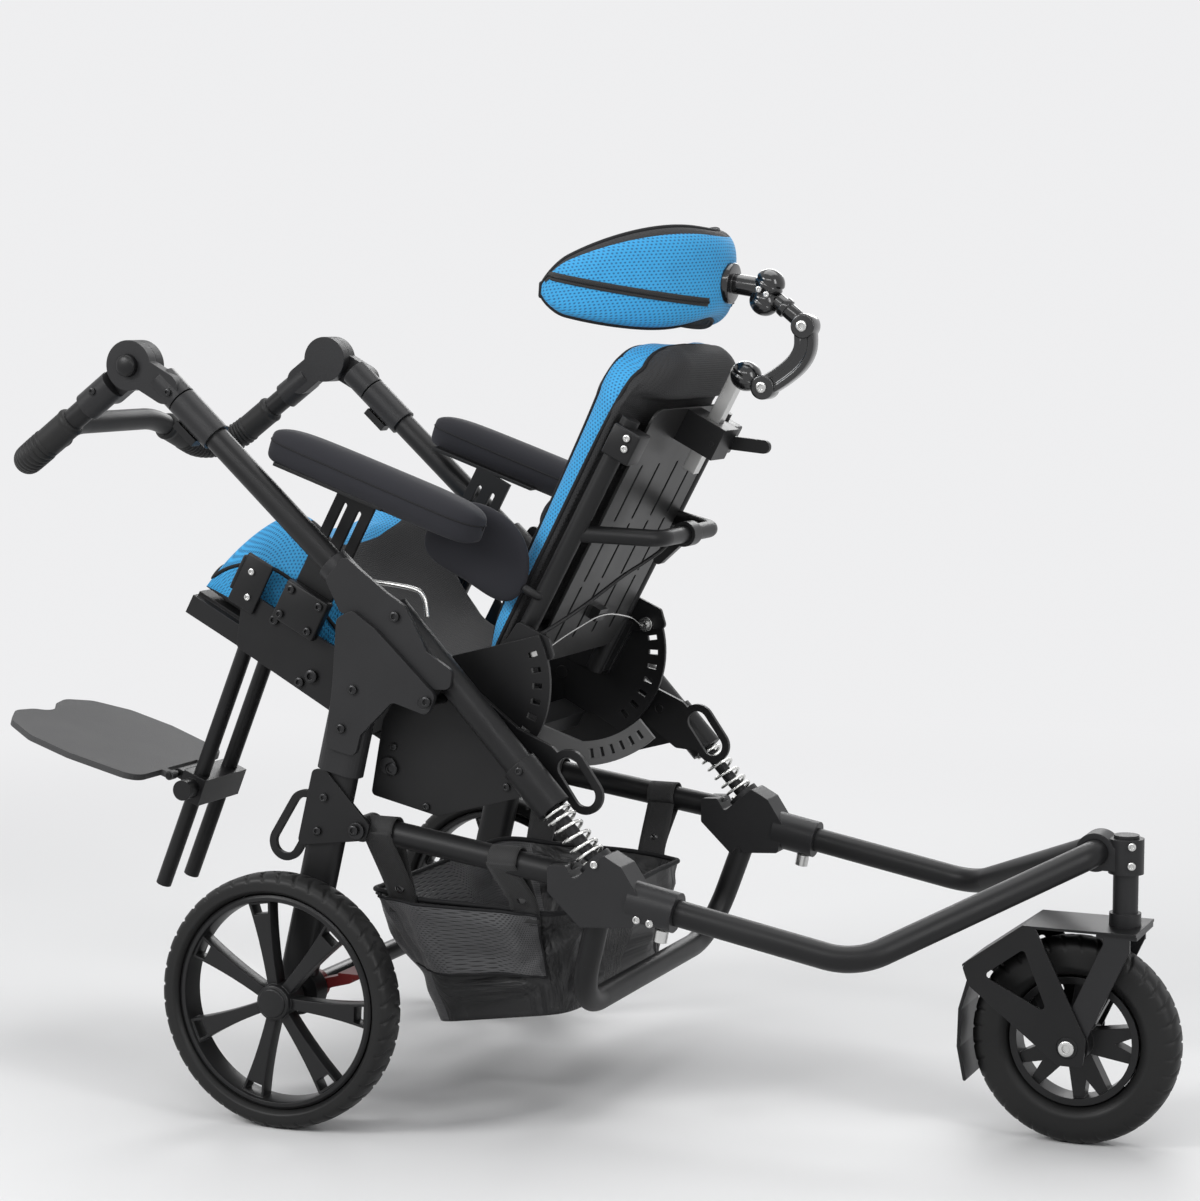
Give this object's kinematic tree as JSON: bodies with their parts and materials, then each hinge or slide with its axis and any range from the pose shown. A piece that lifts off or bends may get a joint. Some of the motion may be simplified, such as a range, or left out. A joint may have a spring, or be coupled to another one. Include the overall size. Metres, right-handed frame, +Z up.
{
  "type": "special needs buggy",
  "caption": "Folding special needs buggy with a tilting, reclining seat, headrest, armrests, footrest, basket, sprung frame and a jogger front wheel.",
  "frame": {"origin": "on the floor, under the middle of the whole length and width", "axes": "+X the way it rolls, +Y its left side, +Z up"},
  "size_m": [1.5187, 0.648, 1.0477],
  "materials": {
    "black_metal": "satin powder coat",
    "grey_metal": "satin powder coat",
    "steel": "bright zinc",
    "red_plastic": "moulded",
    "black_cloth": "woven",
    "blue_mesh": "spacer mesh",
    "tyre": "ribbed tread",
    "rim_plastic": "moulded",
    "black_plastic": "moulded",
    "grey_plastic": "moulded",
    "rubber": "soft grip"
  },
  "bodies": {
    "chassis": {"front_tubes": "black_metal", "rear_legs": "black_metal", "joint_covers": "grey_metal", "seat_carrier": "black_metal", "rear_brackets": "black_metal", "tie_down_plates": "black_metal", "axle_and_bolts": "steel"},
    "brake": {"brake_pedal": "red_plastic"},
    "carriage": {"lower_tubes": "black_metal", "front_nodes": "grey_metal", "u_hoop": "black_metal", "springs": "steel", "front_bow": "black_metal", "stem": "black_metal", "basket": "black_cloth"},
    "lock_left": {"lock_pin_left": "steel"},
    "lock_right": {"lock_pin_right": "steel"},
    "steering": {"fork": "black_metal", "mudguard": "black_metal"},
    "front_wheel": {"front_tyre": "tyre", "front_rim": "rim_plastic"},
    "rear_wheel_left": {"rear_tyre_left": "tyre", "rear_rim_left": "rim_plastic"},
    "rear_wheel_right": {"rear_tyre_right": "tyre", "rear_rim_right": "rim_plastic"},
    "pusher": {"pusher_tubes": "black_metal", "arm_plates": "grey_metal", "pusher_fittings": "black_plastic"},
    "fold_trigger_left": {"trigger_left": "black_plastic"},
    "fold_trigger_right": {"trigger_right": "black_plastic"},
    "handle": {"handle_bar": "black_metal", "handle_grips": "rubber", "handle_joints": "black_plastic"},
    "button_left": {"angle_button_left": "grey_plastic"},
    "button_right": {"angle_button_right": "grey_plastic"},
    "seat": {"seat_frame": "black_metal", "side_plates": "black_metal", "tilt_plate": "grey_metal", "seat_cushion": "blue_mesh", "foot_tubes": "black_metal"},
    "armrest_left": {"arm_post_left": "black_metal", "arm_pad_left": "black_cloth"},
    "armrest_right": {"arm_post_right": "black_metal", "arm_pad_right": "black_cloth"},
    "foot_slide": {"foot_bracket": "black_plastic"},
    "foot_plate": {"footplate": "grey_plastic"},
    "back": {"back_frame": "black_metal", "back_shell": "black_plastic", "back_cushion": "blue_mesh", "lateral_pads": "black_cloth", "back_cables": "steel", "head_clamp": "black_metal"},
    "recline_pin_left": {"plunger_left": "steel"},
    "recline_pin_right": {"plunger_right": "steel"},
    "release_lever": {"recline_lever": "black_plastic"},
    "head_lever": {"clamp_lever": "black_plastic"},
    "head_stem": {"head_post": "black_metal"},
    "head_arm": {"head_link": "black_metal"},
    "head": {"head_bracket": "black_metal", "head_pad": "blue_mesh"}
  },
  "joints": [
    {"name": "brake_pedal", "type": "hinge", "parent": "chassis", "child": "brake", "pos_m": [-0.234, 0, 0.15], "axis": [0, 1, 0], "range_deg": [0, 20]},
    {"name": "suspension", "type": "hinge", "parent": "chassis", "child": "carriage", "pos_m": [-0.15, 0, 0.349], "axis": [0, -1, 0], "range_deg": [0, 1.2], "stiffness_Nm_per_rad": 2500, "springref_deg": -2.29, "deforming": ["springs"]},
    {"name": "lock_pin_left", "type": "slide", "parent": "carriage", "child": "lock_left", "axis": [-0.1875, 0, -0.9823], "range_m": [0, 0.006], "stiffness_N_per_m": 800, "springref_m": -0.004},
    {"name": "lock_pin_right", "type": "slide", "parent": "carriage", "child": "lock_right", "axis": [-0.1875, 0, -0.9823], "range_m": [0, 0.006], "stiffness_N_per_m": 800, "springref_m": -0.004},
    {"name": "steering_align", "type": "hinge", "parent": "carriage", "child": "steering", "pos_m": [0.687, 0, 0.3], "axis": [0, 0, 1], "range_deg": [-5, 5]},
    {"name": "front_wheel_spin", "type": "hinge", "parent": "steering", "child": "front_wheel", "pos_m": [0.634, 0, 0.12], "axis": [0, 1, 0], "continuous": true},
    {"name": "rear_wheel_left_spin", "type": "hinge", "parent": "chassis", "child": "rear_wheel_left", "pos_m": [-0.234, 0.3015, 0.15], "axis": [0, 1, 0], "continuous": true},
    {"name": "rear_wheel_right_spin", "type": "hinge", "parent": "chassis", "child": "rear_wheel_right", "pos_m": [-0.234, -0.3015, 0.15], "axis": [0, 1, 0], "continuous": true},
    {"name": "fold", "type": "hinge", "parent": "chassis", "child": "pusher", "pos_m": [-0.1, 0, 0.6], "axis": [0, -1, 0], "range_deg": [0, 30]},
    {"name": "trigger_left", "type": "slide", "parent": "pusher", "child": "fold_trigger_left", "axis": [-0.7321, 0, 0.6812], "range_m": [0, 0.008], "stiffness_N_per_m": 800, "springref_m": -0.004},
    {"name": "trigger_right", "type": "slide", "parent": "pusher", "child": "fold_trigger_right", "axis": [-0.7321, 0, 0.6812], "range_m": [0, 0.008], "stiffness_N_per_m": 800, "springref_m": -0.004},
    {"name": "handle_angle", "type": "hinge", "parent": "pusher", "child": "handle", "pos_m": [-0.456, 0, 0.883], "axis": [0, 1, 0], "range_deg": [-35, 60]},
    {"name": "angle_button_left", "type": "slide", "parent": "pusher", "child": "button_left", "axis": [0, -1, 0], "range_m": [0, 0.003], "stiffness_N_per_m": 1500, "springref_m": -0.002},
    {"name": "angle_button_right", "type": "slide", "parent": "pusher", "child": "button_right", "axis": [0, 1, 0], "range_m": [0, 0.003], "stiffness_N_per_m": 1500, "springref_m": -0.002},
    {"name": "seat_tilt", "type": "hinge", "parent": "chassis", "child": "seat", "pos_m": [-0.087, 0, 0.486], "axis": [0, 1, 0], "range_deg": [0, 12]},
    {"name": "armrest_left_height", "type": "slide", "parent": "seat", "child": "armrest_left", "axis": [0.4695, 0, 0.8829], "range_m": [0, 0.04]},
    {"name": "armrest_right_height", "type": "slide", "parent": "seat", "child": "armrest_right", "axis": [0.4695, 0, 0.8829], "range_m": [0, 0.04]},
    {"name": "foot_height", "type": "slide", "parent": "seat", "child": "foot_slide", "axis": [0.3752, 0, 0.9269], "range_m": [-0.1, 0.06]},
    {"name": "footplate_flip", "type": "hinge", "parent": "foot_slide", "child": "foot_plate", "pos_m": [-0.53732, 0, 0.35575], "axis": [0, 1, 0], "range_deg": [0, 80]},
    {"name": "recline", "type": "hinge", "parent": "seat", "child": "back", "pos_m": [-0.06604, 0, 0.51903], "axis": [0, 1, 0], "range_deg": [0, 30]},
    {"name": "plunger_left", "type": "slide", "parent": "back", "child": "recline_pin_left", "axis": [0, -1, 0], "range_m": [0, 0.006]},
    {"name": "plunger_right", "type": "slide", "parent": "back", "child": "recline_pin_right", "axis": [0, 1, 0], "range_m": [0, 0.006]},
    {"name": "recline_release", "type": "hinge", "parent": "back", "child": "release_lever", "pos_m": [0.15416, 0, 0.68395], "axis": [0, 1, 0], "range_deg": [0, 25], "stiffness_Nm_per_rad": 1.2, "springref_deg": -17.19},
    {"name": "head_clamp_lever", "type": "hinge", "parent": "back", "child": "head_lever", "pos_m": [0.19355, 0, 0.79212], "axis": [0, 1, 0], "range_deg": [0, 60]},
    {"name": "head_height", "type": "slide", "parent": "back", "child": "head_stem", "axis": [0.4695, 0, 0.8829], "range_m": [0, 0.05]},
    {"name": "head_arm_angle", "type": "hinge", "parent": "head_stem", "child": "head_arm", "pos_m": [0.25159, 0, 0.85866], "axis": [0, 1, 0], "range_deg": [0, 15]},
    {"name": "head_angle", "type": "hinge", "parent": "head_arm", "child": "head", "pos_m": [0.26228, 0, 0.96397], "axis": [0, 1, 0], "range_deg": [0, 15]}
  ],
  "couplings": [
    {"joint": "plunger_left", "follows": "recline_release", "m_per_rad": 0.0137},
    {"joint": "plunger_right", "follows": "recline_release", "m_per_rad": 0.0137}
  ]
}
